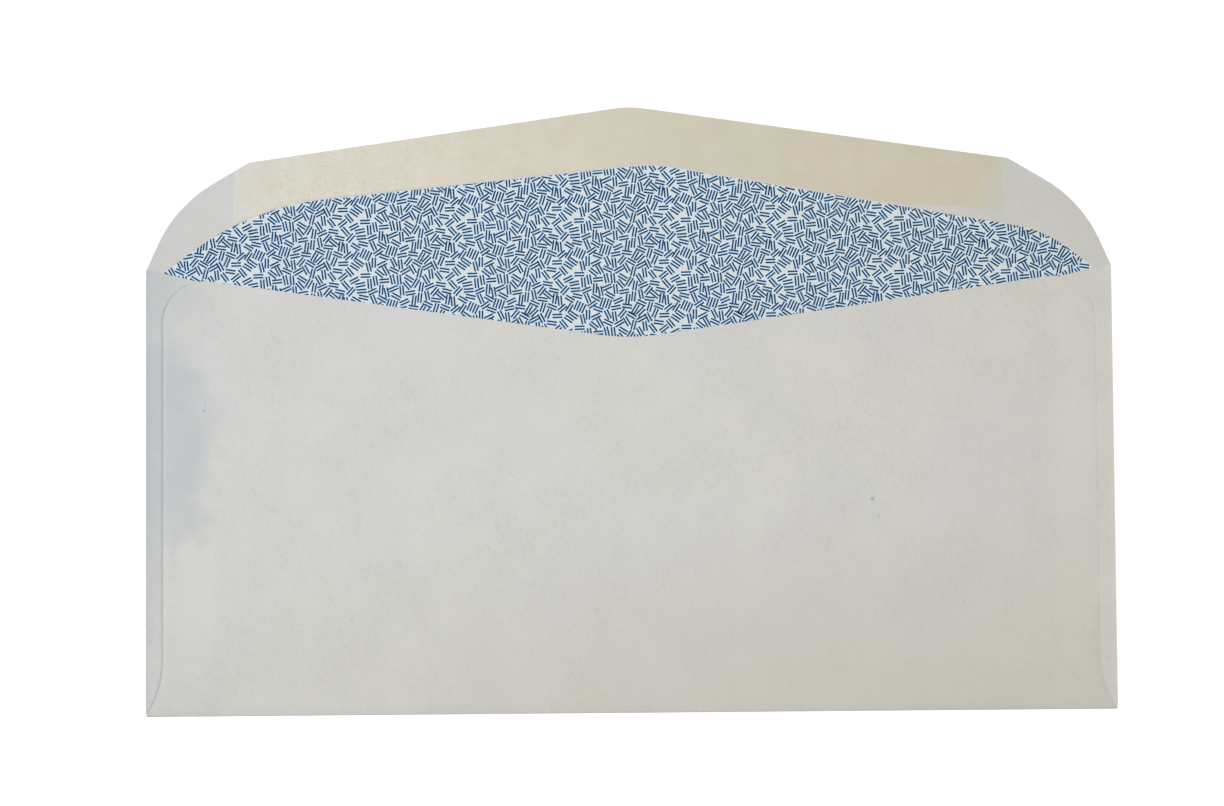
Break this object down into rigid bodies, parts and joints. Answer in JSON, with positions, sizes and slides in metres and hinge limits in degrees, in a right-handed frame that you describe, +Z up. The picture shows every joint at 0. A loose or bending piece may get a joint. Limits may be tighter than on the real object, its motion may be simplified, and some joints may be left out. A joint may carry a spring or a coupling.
{
  "type": "paper envelope",
  "caption": "Side-seam business envelope of white paper, open and unsealed, with its seal flap back, a blue tint inside and a band of gum on the flap.",
  "frame": {"origin": "centre of the front (address) panel's outer face, which lies on the table", "axes": "+X across the envelope to the right as the picture shows it, +Y from the bottom fold towards the seal flap, +Z up from the table"},
  "size_m": [0.2414, 0.1506, 0.0024],
  "materials": {
    "white_wove_paper": "matte",
    "dried_gum": "satin",
    "tint_ink": "matte",
    "seam_glue": "matte"
  },
  "bodies": {
    "root": {"folded_sheet": "white_wove_paper", "flap_gum": "dried_gum", "printed_tint": "tint_ink", "seam_glue_left": "seam_glue", "seam_glue_right": "seam_glue"}
  },
  "joints": []
}
